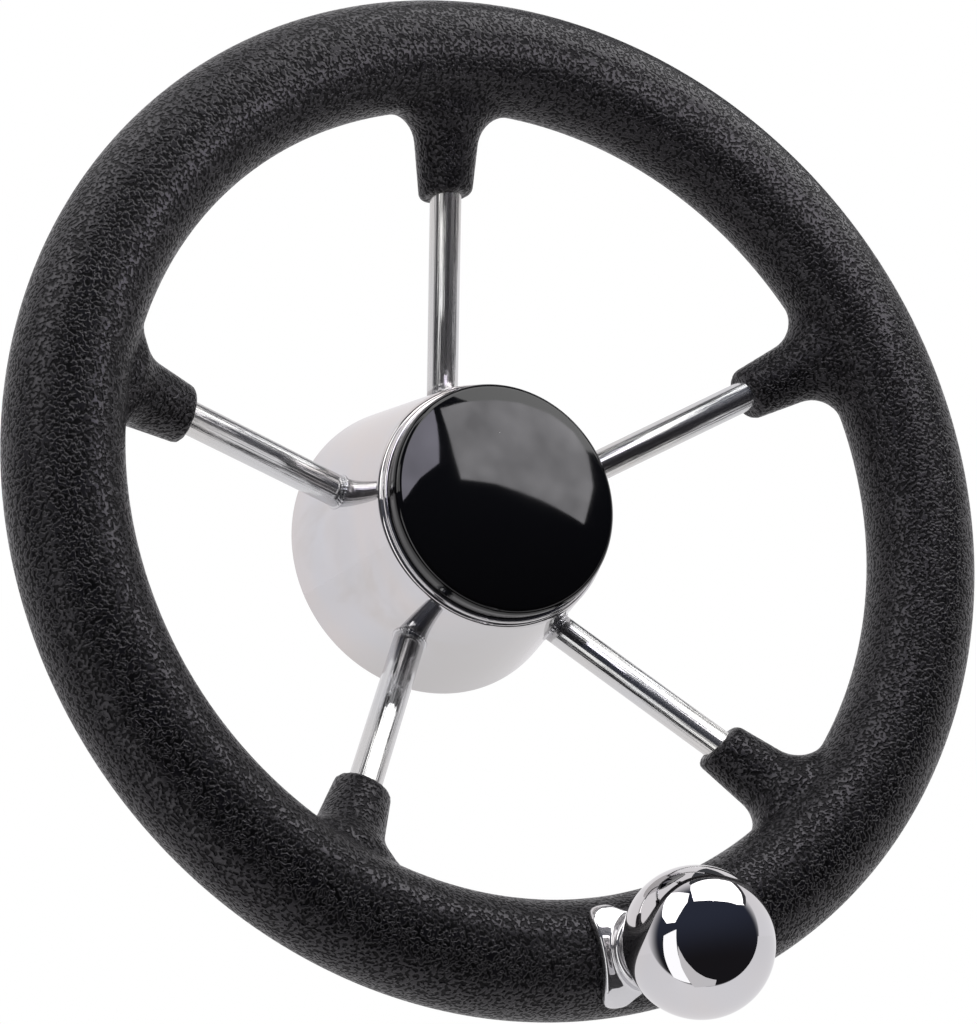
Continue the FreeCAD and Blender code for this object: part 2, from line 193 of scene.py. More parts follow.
def densify(profile, longest):
    """The profile with extra points, so that no run is longer than this."""
    points = [profile[0]]
    for a, b in zip(profile[:-1], profile[1:]):
        pieces = max(1, math.ceil(np.linalg.norm(b - a) / longest))
        for k in range(1, pieces + 1):
            points.append(a + (b - a) * k / pieces)
    return np.array(points)


def lathe(profile, segments, z=0.0, closed=False):
    """Vertices and faces of a profile turned about the line parallel to Y at this height."""
    rings = len(profile)
    angles = np.arange(segments) * 2 * math.pi / segments
    vertices = []
    rows = []
    for radius, y in profile:
        if radius < 1e-6:
            rows.append([len(vertices)] * segments)
            vertices.append((0.0, y, z))
            continue
        start = len(vertices)
        for angle in angles:
            vertices.append((radius * math.cos(angle), y, z + radius * math.sin(angle)))
        rows.append(list(range(start, start + segments)))
    faces = []
    for i in range(rings if closed else rings - 1):
        upper = rows[i]
        lower = rows[(i + 1) % rings]
        for k in range(segments):
            n = (k + 1) % segments
            face = [upper[k], upper[n], lower[n], lower[k]]
            face = [v for j, v in enumerate(face) if v != face[j - 1]]
            if len(face) > 2:
                faces.append(face)
    return vertices, faces


def surface_net(values, low, step):
    """Quads where a sampled field changes sign, with one vertex in each cell that it crosses."""
    inside = values < 0
    filled = np.zeros([n - 1 for n in inside.shape], int)
    for i in (0, 1):
        for j in (0, 1):
            for k in (0, 1):
                nx, ny, nz = filled.shape
                filled += inside[i:i + nx, j:j + ny, k:k + nz]
    crossed = (filled > 0) & (filled < 8)
    index = -np.ones(crossed.shape, int)
    index[crossed] = np.arange(crossed.sum())
    vertices = (np.argwhere(crossed) + 0.5) * step + low
    quads = []
    for axis in range(3):
        first = np.moveaxis(inside, axis, 0)
        cells = np.moveaxis(index, axis, 0)
        starts = first[:-1, 1:-1, 1:-1]
        ends = first[1:, 1:-1, 1:-1]
        for out in (True, False):
            spot = np.argwhere((starts == out) & (ends != out))
            i, j, k = spot.T
            ring = [cells[i, j, k], cells[i, j + 1, k], cells[i, j + 1, k + 1], cells[i, j, k + 1]]
            if out == (axis == 1):
                ring = ring[::-1]
            quads.append(np.stack(ring, 1))
    return vertices, np.concatenate(quads)


# The grip: one moulded ring with blended boots, as a smooth field

def fold_to_spoke(x, z):
    """Radial and sideways position beside the nearest spoke's upright plane."""
    turn = 2 * math.pi / SPOKES
    angle = np.arctan2(z, x) - math.pi / 2
    angle = (angle + turn / 2) % turn - turn / 2
    radius = np.hypot(x, z)
    return radius * np.cos(angle), radius * np.sin(angle)


def grip_field(points):
    """Signed distance to the grip's surface, near enough; negative inside."""
    x, y, z = points[..., 0], points[..., 1], points[..., 2]
    ring = np.hypot(np.hypot(x, z) - CORE_RADIUS, y - RIM_Y) - GRIP_RADIUS
    outward, sideways = fold_to_spoke(x, z)
    inward = CORE_RADIUS - outward
    behind = y - RIM_Y - SPOKE_AIM - BOOT_SET_BACK
    along = inward * math.cos(SPOKE_LEAN) + behind * math.sin(SPOKE_LEAN)
    across = np.hypot(sideways, -inward * math.sin(SPOKE_LEAN) + behind * math.cos(SPOKE_LEAN))
    side = (across - BOOT_END_RADIUS - (BOOT_LENGTH - along) * math.tan(BOOT_TAPER)) * math.cos(BOOT_TAPER)
    side = side + BOOT_EDGE_ROUND
    end = (inward - BOOT_LENGTH * math.cos(SPOKE_LEAN)) * math.cos(BOOT_END_TILT)
    end = end + (behind - BOOT_LENGTH * math.sin(SPOKE_LEAN)) * math.sin(BOOT_END_TILT) + BOOT_EDGE_ROUND
    boot = np.minimum(np.maximum(side, end), 0) + np.hypot(np.maximum(side, 0), np.maximum(end, 0))
    boot = np.maximum(boot - BOOT_EDGE_ROUND, -along)
    share = np.clip((along - BLEND_STARTS) / (BLEND_FULL - BLEND_STARTS), 0, 1)
    blend = BOOT_BLEND * share * share * (3 - 2 * share)
    joined = np.hypot(np.maximum(blend - ring, 0), np.maximum(blend - boot, 0))
    return np.maximum(blend, np.minimum(ring, boot)) - joined


def settle(points, field, rounds=6, reach=0.01):
    """Points moved along the field's slope onto its surface."""
    for _ in range(rounds):
        value = field(points)
        slope = np.zeros_like(points)
        for axis in range(3):
            step = np.zeros(3)
            step[axis] = reach
            slope[:, axis] = (field(points + step) - field(points - step)) / (2 * reach)
        size = np.maximum((slope ** 2).sum(1), 0.2)
        points = points - (value / size)[:, None] * slope
    return points


def make_grip():
    """The foam grip, sampled on a grid and settled onto its smooth field."""
    low = LOW["grip"] - 3 * GRIP_CELL
    high = HIGH["grip"] + 3 * GRIP_CELL
    axes = [np.arange(a, b, GRIP_CELL) for a, b in zip(low, high)]
    grid = np.stack(np.meshgrid(*axes, indexing="ij"), -1)
    vertices, quads = surface_net(grip_field(grid), low, GRIP_CELL)
    vertices = settle(vertices, grip_field)
    vertices = np.clip(vertices, LOW["grip"], HIGH["grip"])
    return new_object("grip_foam", vertices, quads.tolist(), WHEEL, ["grip"])


# Spokes and their welds

def spoke_frame(number):
    """Start on the core circle, direction to the hub, and two directions across, of one spoke."""
    angle = math.pi / 2 + number * 2 * math.pi / SPOKES
    radial = np.array([math.cos(angle), 0, math.sin(angle)])
    start = radial * CORE_RADIUS + np.array([0, RIM_Y + SPOKE_AIM, 0])
    along = -radial * math.cos(SPOKE_LEAN) + np.array([0, math.sin(SPOKE_LEAN), 0])
    sideways = np.array([-radial[2], 0, radial[0]])
    third = np.cross(along, sideways)
    return start, along, sideways, third


def bell_radius(y):
    """Outer radius of the bell's cone at this place along the shaft."""
    return BELL_FRONT_RADIUS + BELL_SLOPE * (y - BEAD_Y)


def junction(number, radius, sunk, count):
    """Ring of points where a tube of this radius along the spoke meets the bell's cone."""
    start, along, sideways, third = spoke_frame(number)
    angles = np.arange(count) * 2 * math.pi / count
    base = start + radius * (np.cos(angles)[:, None] * sideways + np.sin(angles)[:, None] * third)
    near = np.full(count, SPOKE_MEETS_AFTER)
    far = np.full(count, SPOKE_MEETS_BEFORE)
    for _ in range(50):
        middle = (near + far) / 2
        point = base + middle[:, None] * along
        outside = np.hypot(point[:, 0], point[:, 2]) > bell_radius(point[:, 1]) - sunk
        near = np.where(outside, middle, near)
        far = np.where(outside, far, middle)
    return base, base + near[:, None] * along


def make_spoke(number):
    """One straight tube from the rim's core to the bell, with a streak place stored on each vertex."""
    count = 96
    base, inner = junction(number, SPOKE_RADIUS, SPOKE_SUNK, count)
    start, along, _, _ = spoke_frame(number)
    outer = base + (CORE_TUBE_RADIUS + SPOKE_CORE_GAP) * along
    rings = 24
    rows = [outer + (inner - outer) * k / rings for k in range(rings + 1)]
    vertices = np.concatenate(rows + [[outer.mean(0)], [inner.mean(0)]])
    faces = []
    for r in range(rings):
        for k in range(count):
            n = (k + 1) % count
            faces.append([r * count + k, r * count + n, (r + 1) * count + n, (r + 1) * count + k])
    last = rings * count
    for k in range(count):
        n = (k + 1) % count
        faces.append([n, k, len(vertices) - 2])
        faces.append([last + k, last + n, len(vertices) - 1])
    node = "spoke_%d" % (number + 1)
    piece = new_object("tube_%d" % (number + 1), vertices, faces, WHEEL, [node])
    turns = np.arange(len(vertices)) % count * 2 * math.pi / count
    down = (vertices - start) @ along
    grain = np.stack([np.cos(turns), np.sin(turns), number + 0.0015 * down], 1)
    grain[-2:, :2] = 0
    streak = piece.data.attributes.new("streak", "FLOAT_VECTOR", "POINT")
    streak.data.foreach_set("vector", grain.ravel())
    return piece


def make_weld(number):
    """Thin rippled bead round the joint between a spoke and the bell."""
    count = 240
    around = 10
    _, curve = junction(number, SPOKE_RADIUS, 0.0, count)
    _, wide = junction(number, SPOKE_RADIUS + 1.0, 0.0, count)
    rng = np.random.default_rng(11 + number)
    wander = np.zeros(count)
    places = np.arange(count) * 2 * math.pi / count
    for wave in range(2, 7):
        wander += rng.normal() * np.cos(wave * places + rng.uniform(0, 6.3)) / wave
    vertices = []
    for k in range(count):
        away = wide[k] - curve[k]
        away /= np.linalg.norm(away)
        tangent = curve[(k + 1) % count] - curve[k - 1]
        tangent /= np.linalg.norm(tangent)
        up = np.cross(tangent, away)
        size = WELD_RADIUS * (1 + 0.12 * wander[k] + 0.07 * math.sin(WELD_RIPPLES * places[k]))
        for j in range(around):
            angle = 2 * math.pi * j / around
            vertices.append(curve[k] + size * (math.cos(angle) * away + WELD_HEIGHT * math.sin(angle) * up))
    faces = []
    for k in range(count):
        for j in range(around):
            a = k * around + j
            b = k * around + (j + 1) % around
            c = ((k + 1) % count) * around + (j + 1) % around
            d = ((k + 1) % count) * around + j
            faces.append([a, d, c, b])
    return new_object("weld_%d" % (number + 1), vertices, faces, WHEEL)


# Hub

def make_bell():
    """Cone with a wall, a lip turned in at its front, and the rolled bead round that edge."""
    across = BELL_WALL * math.hypot(1, BELL_SLOPE)
    back = LIP_Y + BELL_WALL
    outline = rounded_profile([
        (MOUTH_RADIUS, LIP_Y, 0),
        (bell_radius(LIP_Y), LIP_Y, LIP_BEND + BELL_WALL),
        (BELL_REAR_RADIUS, BELL_REAR_Y, BELL_REAR_ROUND),
        (BELL_REAR_RADIUS - across, BELL_REAR_Y, BELL_REAR_ROUND),
        (bell_radius(back) - across, back, LIP_BEND),
        (MOUTH_RADIUS, back, 0),
    ], 12)
    middle = np.array([BEAD_CIRCLE, BEAD_Y])
    clear = np.linalg.norm(outline - middle, axis=1) > BEAD_RADIUS + 0.03
    lip = (outline[:, 0] < BEAD_CIRCLE) & (outline[:, 1] <= LIP_Y)
    before = [point for point, keep in zip(outline, clear & lip) if keep]
    after = [point for point, keep in zip(outline[1:], clear[1:]) if keep]
    profile = np.concatenate([np.array(before), bead_arc(), np.array(after)])
    profile = densify(profile, 1.2)
    vertices, faces = lathe(profile, 288, closed=True)
    piece = new_object("bell_shell", vertices, faces, WHEEL, ["hub_bell"])
    add_heat(piece)
    return piece


def bead_arc():
    """The rolled bead's outline, from the lip in front round to the bend into the cone."""
    points = []
    for k in range(25):
        angle = math.radians(BEAD_STARTS - BEAD_TURN * k / 24)
        points.append((BEAD_CIRCLE + BEAD_RADIUS * math.cos(angle), BEAD_Y - BEAD_RADIUS * math.sin(angle)))
    return np.array(points)


def add_heat(piece):
    """Stores how near each vertex lies to a weld, for the straw tint there."""
    mesh = piece.data
    places = np.zeros(len(mesh.vertices) * 3)
    mesh.vertices.foreach_get("co", places)
    places = places.reshape(-1, 3) / MM
    nearest = np.full(len(places), 1e3)
    for number in range(SPOKES):
        _, curve = junction(number, SPOKE_RADIUS, 0.0, 48)
        for point in curve:
            nearest = np.minimum(nearest, np.linalg.norm(places - point, axis=1))
    heat = mesh.attributes.new("heat", "FLOAT", "POINT")
    heat.data.foreach_set("value", np.exp(-(nearest / HEAT_REACH) ** 2))


def make_cap():
    """Low domed cap with a rounded edge and a skirt that reaches into the bell's mouth."""
    crown = CAP_FRONT_Y
    sphere = (CAP_RADIUS ** 2 + CAP_DOME ** 2) / (2 * CAP_DOME)
    edge = CAP_RADIUS - CAP_EDGE_ROUND * 0.95

    def dome_y(radius, thickness=0.0):
        return crown + sphere - math.sqrt((sphere - thickness) ** 2 - radius ** 2)

    inner = CAP_SKIRT - CAP_WALL
    dome = [(edge * k / 47, dome_y(edge * k / 47)) for k in range(48)]
    rest = rounded_profile([
        (edge, dome_y(edge), 0),
        (CAP_RADIUS, dome_y(CAP_RADIUS), CAP_EDGE_ROUND),
        (CAP_RADIUS, CAP_FLANGE_BACK, CAP_FLANGE_ROUND),
        (CAP_FOOT, CAP_FLANGE_BACK, 0),
        (CAP_FOOT, LIP_Y, 0),
        (CAP_SKIRT, LIP_Y, 0),
        (CAP_SKIRT, CAP_BACK_Y, CAP_SKIRT_ROUND),
        (inner, CAP_BACK_Y, CAP_SKIRT_ROUND),
        (inner, dome_y(inner, CAP_WALL), CAP_INSIDE_ROUND),
        (inner / 2, dome_y(inner / 2, CAP_WALL), 0),
        (0, dome_y(0, CAP_WALL), 0),
    ], 10)
    profile = np.concatenate([np.array(dome[:-2]), rest[1:]])
    vertices, faces = lathe(profile, 288)
    return new_object("cap_black", vertices, faces, WHEEL, ["centre_cap"])


# Knob

def make_ball():
    """Polished ball, cut flat behind, with the hole that the neck goes into."""
    back_radius = math.sqrt(BALL_RADIUS ** 2 - (BALL_BACK_Y - BALL_Y) ** 2)
    end = math.asin(back_radius / BALL_RADIUS)
    arc = []
    for k in range(97):
        angle = (math.pi - end - 0.03) * k / 96
        arc.append((BALL_RADIUS * math.sin(angle), BALL_Y - BALL_RADIUS * math.cos(angle)))
    rest = rounded_profile([
        tuple(arc[-1]) + (0,),
        (back_radius, BALL_BACK_Y, BALL_BACK_ROUND),
        (BALL_HOLE, BALL_BACK_Y, BALL_HOLE_ROUND),
        (BALL_HOLE, BALL_BACK_Y - BALL_HOLE_DEPTH, 0),
        (0, BALL_BACK_Y - BALL_HOLE_DEPTH, 0),
    ])
    profile = np.concatenate([np.array(arc[:-1]), rest])
    vertices, faces = lathe(profile, 192, KNOB_Z)
    return new_object("ball_polished", vertices, faces, KNOB, ["knob_ball"])


def on_ring(x, z, section):
    """How far in front of the rim's middle plane a ring of this section radius stands at (x, z)."""
    off = np.hypot(x, z) - CORE_RADIUS
    return math.sqrt(max(section ** 2 - off ** 2, 0))


def saddle_outline(angles):
    """Distance from the knob's axis to the saddle's edge in each direction: two ears above, two below."""
    corners = []
    for side in (1, -1):
        corners.append((side * SADDLE_WIDE, -side * SADDLE_HIGH, SADDLE_CORNER_ROUND))
        corners.append((side * SADDLE_WIDE, side * SADDLE_HIGH, SADDLE_CORNER_ROUND))
        corners.append((side * SADDLE_EAR, side * SADDLE_HIGH, SADDLE_EAR_ROUND))
        corners.append((0, side * SADDLE_WAIST, SADDLE_EAR_ROUND))
        corners.append((-side * SADDLE_EAR, side * SADDLE_HIGH, SADDLE_EAR_ROUND))
    points = rounded_profile(corners + corners[:2], 10)[1:-1]
    points = densify(points, 0.2)
    turns = np.arctan2(points[:, 1], points[:, 0])
    order = np.argsort(turns)
    return np.interp(angles, turns[order], np.hypot(*points[order].T), period=2 * math.pi)


def make_base():
    """Saddle on the grip, collar and neck, with one profile for each direction round the knob's axis."""
    count = 360
    section = GRIP_RADIUS + SADDLE_THICKNESS
    turns = np.arange(count) * 2 * math.pi / count
    vertices = []
    for angle, outer in zip(turns, saddle_outline(turns)):
        c, d = math.cos(angle), math.sin(angle)
        outer = max(outer, COLLAR_RADIUS + SADDLE_PAST_COLLAR)
        room = outer - COLLAR_RADIUS
        edge = min(SADDLE_EDGE_ROUND, 0.5 * room)
        fillet = min(COLLAR_ROOT, 0.4 * room)

        def front(radius, shell):
            return RIM_Y - on_ring(radius * c, KNOB_Z + radius * d, shell)

        outline = []
        outline.append((outer - edge * 0.4, front(outer - edge * 0.4, GRIP_RADIUS + 0.05)))
        outline.append((outer - edge * 0.05, front(outer - edge * 0.05, GRIP_RADIUS + 0.12)))
        outline.append((outer, front(outer, GRIP_RADIUS + 0.5)))
        for k in range(9):
            turn = math.pi / 2 * k / 8
            radius = outer - edge * (1 - math.cos(turn))
            lift = section - edge * (1 - math.sin(turn))
            outline.append((radius, front(radius, lift)))
        root = COLLAR_RADIUS + fillet
        for k in range(1, 5):
            radius = outer - edge + (root - outer + edge) * k / 4
            outline.append((radius, front(radius, section)))
        for k in range(1, 7):
            turn = math.pi / 2 * k / 6
            radius = root - fillet * math.sin(turn)
            outline.append((radius, front(radius, section) - fillet * (1 - math.cos(turn))))
        rest = rounded_profile([
            (COLLAR_RADIUS, outline[-1][1] - 0.1, 0),
            (COLLAR_RADIUS, COLLAR_FRONT_Y, COLLAR_EDGE_ROUND),
            (NECK_RADIUS, COLLAR_FRONT_Y, NECK_ROOT),
            (NECK_RADIUS, NECK_FRONT_Y, NECK_EDGE_ROUND),
            (0.5, NECK_FRONT_Y, 0),
        ])
        outline.extend(map(tuple, rest))
        vertices.extend((radius * c, y, KNOB_Z + radius * d) for radius, y in outline)
    rows = len(vertices) // count
    faces = []
    for s in range(count):
        n = (s + 1) % count
        for k in range(rows - 1):
            faces.append([s * rows + k, s * rows + k + 1, n * rows + k + 1, n * rows + k])
    return new_object("base_polished", vertices, faces, WHEEL, ["knob_base"])


# Materials

def feed(tree, socket, value):
    """Links an output to a socket, or sets the socket to a number or a colour."""
    if hasattr(value, "is_output"):
        tree.links.new(value, socket)
    elif isinstance(value, tuple):
        socket.default_value = (*value, 1.0)
    else:
        socket.default_value = value


class Nodes:
    """Small helper for building a node material."""

    def __init__(self, name):
        self.material = bpy.data.materials.new(name)
        self.material.use_nodes = True
        self.tree = self.material.node_tree
        self.shader = self.tree.nodes["Principled BSDF"]
        self.place = self.add("ShaderNodeTexCoord").outputs["Object"]

    def add(self, kind, **values):
        """A new node with these settings."""
        node = self.tree.nodes.new(kind)
        for key, value in values.items():
            setattr(node, key, value)
        return node

    def link(self, source, target):
        """Joins an output to an input."""
        self.tree.links.new(source, target)

    def set(self, **values):
        """Sets inputs of the shader itself; an underscore stands for a space."""
        for key, value in values.items():
            self.shader.inputs[key.replace("_", " ")].default_value = value

    def noise(self, scale, detail=3.0, roughness=0.5, distortion=0.0, place=None):
        """Cloudy values of this scale, over the object's own coordinates unless a place is given."""
        node = self.add("ShaderNodeTexNoise")
        node.inputs["Scale"].default_value = scale
        node.inputs["Detail"].default_value = detail
        node.inputs["Roughness"].default_value = roughness
        node.inputs["Distortion"].default_value = distortion
        self.link(place or self.place, node.inputs["Vector"])
        return node.outputs["Fac"]

    def math(self, operation, first, second):
        """Result of one sum on two values or outputs."""
        node = self.add("ShaderNodeMath", operation=operation)
        feed(self.tree, node.inputs[0], first)
        feed(self.tree, node.inputs[1], second)
        return node.outputs[0]

    def ramp(self, factor, low, high, out_low=0.0, out_high=1.0):
        """Smooth step from one value to another as the factor goes from low to high."""
        node = self.add("ShaderNodeMapRange", interpolation_type="SMOOTHSTEP")
        node.inputs["From Min"].default_value = low
        node.inputs["From Max"].default_value = high
        node.inputs["To Min"].default_value = out_low
        node.inputs["To Max"].default_value = out_high
        self.link(factor, node.inputs["Value"])
        return node.outputs["Result"]

    def mix(self, factor, first, second):
        """Colour between two colours or outputs."""
        node = self.add("ShaderNodeMix", data_type="RGBA")
        self.link(factor, node.inputs["Factor"])
        feed(self.tree, node.inputs[6], first)
        feed(self.tree, node.inputs[7], second)
        return node.outputs[2]

    def haze(self, colour, share):
        """Lays a share of dull sheen over the mirror."""
        dull = self.add("ShaderNodeBsdfAnisotropic")
        self.link(colour, dull.inputs["Color"])
        dull.inputs["Roughness"].default_value = 0.5
        both = self.add("ShaderNodeMixShader")
        feed(self.tree, both.inputs["Fac"], share)
        self.link(self.shader.outputs[0], both.inputs[1])
        self.link(dull.outputs[0], both.inputs[2])
        self.link(both.outputs[0], self.tree.nodes["Material Output"].inputs["Surface"])

    def bump(self, height, distance, strength=1.0):
        """Normal of a surface that is raised by the height times this distance in metres."""
        node = self.add("ShaderNodeBump")
        node.inputs["Strength"].default_value = strength
        feed(self.tree, node.inputs["Distance"], distance)
        self.link(height, node.inputs["Height"])
        return node.outputs["Normal"]


def foam_material():
    """Black moulded foam with a fine worm-like grain, as on leather: satin ridges, and grooves painted darker
    and less shiny, as painted shade in the grain's hollows.
    """
    n = Nodes("black_foam")
    warp = n.add("ShaderNodeTexNoise")
    warp.inputs["Scale"].default_value = 700
    warp.inputs["Detail"].default_value = 1.0
    n.link(n.place, warp.inputs["Vector"])
    shift = n.add("ShaderNodeVectorMath", operation="MULTIPLY_ADD")
    n.link(warp.outputs["Color"], shift.inputs[0])
    shift.inputs[1].default_value = (0.0007, 0.0007, 0.0007)
    n.link(n.place, shift.inputs[2])
    worms = n.noise(1180, 0.0, 0.5, 0.0, shift.outputs[0])
    broad = n.noise(60, 3.0)
    ridge = n.ramp(worms, 0.34, 0.62)
    deep = n.ramp(broad, 0.3, 0.7, 0.00034, 0.00046)
    # Painted shade: the grooves get a darker base colour than the ridges.
    n.link(n.mix(ridge, (0.0045, 0.0044, 0.005), (0.009, 0.0085, 0.0108)), n.shader.inputs["Base Color"])
    rough = n.math("ADD", n.ramp(ridge, 0.0, 1.0, 0.40, 0.30), n.ramp(broad, 0.3, 0.7, -0.03, 0.03))
    n.link(rough, n.shader.inputs["Roughness"])
    # Painted shade: the grooves get a lower specular level than the ridges, so they look dark.
    n.link(n.ramp(ridge, 0.0, 0.8, 0.14, 0.46), n.shader.inputs["Specular IOR Level"])
    n.set(Specular_Tint=(0.98, 0.94, 1.0, 1.0))
    n.link(n.bump(ridge, deep), n.shader.inputs["Normal"])
    return n.material


def polished_material(name, tint, low_rough, high_rough, wave, heat=False, haze=0.0, stains=1.0):
    """Mirror-polished stainless steel with faint polishing waves and haze."""
    n = Nodes(name)
    n.set(Metallic=1.0)
    cloud = n.noise(34, 4.0, 0.55, 0.6)
    stain = n.noise(11, 3.0, 0.6, 0.8)
    warm = tuple(c * (1 - f * stains) for c, f in zip(tint, (0.0, 0.025, 0.035)))
    cool = tuple(c * (1 - f * stains) for c, f in zip(tint, (0.035, 0.025, 0.0)))
    base = n.mix(n.ramp(stain, 0.36, 0.64), warm, cool)
    dim = tuple(c * (1 - f * stains) for c, f in zip(tint, (0.09, 0.105, 0.12)))
    base = n.mix(n.ramp(cloud, 0.52, 0.75, 0.0, 0.6), base, dim)
    # On the bell this adds the straw heat tint near the welds, and painted shade towards the bottom.
    if heat:
        height = n.add("ShaderNodeSeparateXYZ")
        n.link(n.place, height.inputs[0])
        # Painted shade: the bell's base colour darkens towards the bottom, between these two heights.
        painted_shade_colour = tuple(c * PAINTED_SHADE_SHARE for c in tint)
        base = n.mix(n.ramp(height.outputs["Z"], PAINTED_SHADE_STARTS_Z * MM, PAINTED_SHADE_FULL_Z * MM), base, painted_shade_colour)
        near = n.add("ShaderNodeAttribute", attribute_name="heat")
        base = n.mix(n.math("MULTIPLY", near.outputs["Fac"], 0.55), base, (0.62, 0.5, 0.33))
    n.link(base, n.shader.inputs["Base Color"])
    n.link(n.ramp(cloud, 0.35, 0.75, low_rough, high_rough), n.shader.inputs["Roughness"])
    n.link(n.bump(n.noise(60, 1.0), wave, 0.35), n.shader.inputs["Normal"])
    if haze:
        n.haze(base, haze)
    return n.material


def tube_material():
    """Polished drawn tube: a mirror with a thin haze, in streaks along its length."""
    n = Nodes("polished_tube")
    along = n.add("ShaderNodeAttribute", attribute_name="streak").outputs["Vector"]
    streaks = n.noise(3.2, 4.0, 0.62, 0.0, along)
    stain = n.noise(15, 3.0, 0.6, 0.8)
    base = n.mix(n.ramp(stain, 0.36, 0.64), (0.70, 0.69, 0.675), (0.685, 0.69, 0.70))
    n.set(Metallic=1.0)
    n.link(base, n.shader.inputs["Base Color"])
    n.link(n.ramp(streaks, 0.3, 0.7, 0.015, 0.03), n.shader.inputs["Roughness"])
    n.link(n.bump(streaks, 0.0005, 0.4), n.shader.inputs["Normal"])
    n.haze(base, n.ramp(streaks, 0.42, 0.6, 0.07, 0.26))
    return n.material


def plain_steel_material():
    """Turned or drawn steel of the hidden pieces."""
    n = Nodes("plain_steel")
    n.set(Metallic=1.0)
    fine = n.noise(900, 3.0)
    n.link(n.mix(fine, (0.42, 0.42, 0.42), (0.56, 0.555, 0.55)), n.shader.inputs["Base Color"])
    n.link(n.ramp(fine, 0.3, 0.7, 0.24, 0.36), n.shader.inputs["Roughness"])
    n.link(n.bump(fine, 0.00002, 0.4), n.shader.inputs["Normal"])
    return n.material


def cap_material():
    """Glossy black moulded plastic with a few dust specks and a hint of flow waviness."""
    n = Nodes("gloss_black")
    dust = n.add("ShaderNodeTexVoronoi")
    dust.inputs["Scale"].default_value = 130
    n.link(n.place, dust.inputs["Vector"])
    speck = n.ramp(dust.outputs["Distance"], 0.035, 0.02)
    rare = n.ramp(n.noise(95, 0.0), 0.6, 0.64)
    speck = n.math("MULTIPLY", speck, rare)
    n.link(n.mix(speck, (0.0055, 0.0055, 0.0065), (0.25, 0.25, 0.25)), n.shader.inputs["Base Color"])
    n.link(n.ramp(n.noise(24, 3.0, 0.55), 0.3, 0.7, 0.03, 0.07), n.shader.inputs["Roughness"])
    n.link(n.bump(n.noise(16, 1.0), 0.0002, 0.12), n.shader.inputs["Normal"])
    return n.material


def rubber_material():
    """Dull black rubber of the hidden seal."""
    n = Nodes("ring_rubber")
    fine = n.noise(1200, 2.0)
    n.link(n.mix(fine, (0.012, 0.012, 0.012), (0.02, 0.02, 0.02)), n.shader.inputs["Base Color"])
    n.link(n.ramp(fine, 0.3, 0.7, 0.55, 0.7), n.shader.inputs["Roughness"])
    n.link(n.bump(fine, 0.00003, 0.5), n.shader.inputs["Normal"])
    return n.material


def paint(piece, material):
    """Gives the piece this one material."""
    piece.data.materials.clear()
    piece.data.materials.append(material)


# Studio

# Camera fitted to the photograph: its place in millimetres and its two directions in the picture
CAMERA_PLACE = (-240.728, RIM_Y - 443.746, -124.358)
CAMERA_RIGHT = (0.914872, -0.370602, -0.1602)
CAMERA_UP = (0.06387, -0.258941, 0.963779)
CAMERA_AHEAD = (0.39866, 0.891966, 0.213227)
CAMERA_LENS = 68.4
CAMERA_SHIFT = (0.0930, 0.0461)

# Where the dark room opens in the white tent round the object, as unit directions and cosines
ROOM_TOWARD = (-0.29, -0.895, 0.34)
ROOM_SOFTNESS = 0.03
LEFT_TOWARD = (-0.24, -0.97, 0.0)
LEFT_WHITE = -0.19
LEFT_DARK = 0.2
TENT_COLOUR = (0.90, 0.885, 0.905)
TENT_SHARE = 0.4
ROOM_ABOVE = (0.030, 0.035, 0.055)
ROOM_BELOW = (0.012, 0.011, 0.013)

# Floor in metres, and how brightly it glows in reflections and for the camera
FLOOR_Z = -0.55
FLOOR_SIZE = 6.0
FLOOR_EDGE = 0.16
FLOOR_TURN = math.radians(20)
FLOOR_GLOW = (1, 0.985, 1)
FLOOR_REFLECTED = 0.99
FLOOR_SEEN = 1.3
FLOOR_GLOW_SHARE = 0.85

# Outlines of the light boxes, in degrees as seen from the knob's ball
RIGHT_BOX = [(-157, 61), (180, 58), (150, 48), (125, 33.5), (112, 28), (92, 33), (75, 38), (78, 60), (85, 86),
             (-165, 82)]
LEFT_BOX = [(-117, 32), (-102, 31), (-90, 40), (-80, 54), (-60, 70), (-150, 76), (-140, 61), (-126, 46)]
LOW_STRIP = [(-119, 22), (-98, 15), (-94, -10), (-90, -40), (-112, -57), (-116, -10)]
LOW_FLAP = [(-118, 0), (-124, -22), (-135, -42), (-150, -53), (-175, -59), (-175, -68), (-150, -68),
            (-113, -64), (-114, -30)]
TOP_GAP = [(43, 34), (60, 37), (75, 37), (80, 60), (85, 86), (48, 84), (43, 60)]
BOX_FRAME = [(60, 40), (75, 40.5), (92, 35), (112, 30), (112, 26.5), (92, 30), (75, 34.5), (60, 34.5)]

# Cards seen from the ball: distance, brightness, colour, outline, and whether it lights the room
BALL_CARDS = {
    "box_right": (600, 2.6, (1, 1, 1), RIGHT_BOX, True),
    "box_left": (600, 2.4, (1, 1, 1), LEFT_BOX, True),
    "strip_low": (500, 1.5, (1, 1, 1), LOW_STRIP, True),
    "flap_low": (400, 0.75, (1, 0.98, 0.99), LOW_FLAP, False),
    "gap_top": (650, 0.07, (0.85, 0.9, 1), TOP_GAP, False),
    "frame_right": (640, 0.05, (0.9, 0.9, 1), BOX_FRAME, False),
}

# The boxes' parts that show in the cap, on cards near the hub: outlines in millimetres along two directions
NEAR_RIGHT = [(62.8, -14), (23, -26.5), (-27, -49.7), (-75.8, -75.4), (-95.7, -35.7), (-99, -2.7),
              (-90, 20.8), (-68.4, 40), (-39, 54.5), (-13, 62), (20, 67.5), (50, 69.3), (54.8, 40.6),
              (59.9, 14)]
NEAR_LEFT = [(24.5, 11.6), (42.1, 3.0), (62.7, -13.5), (62.3, 1.6), (51.4, 23.9), (35.9, 40.7),
             (22.4, 49.8), (14.7, 53.8), (16.6, 40.2), (20.3, 25.0)]

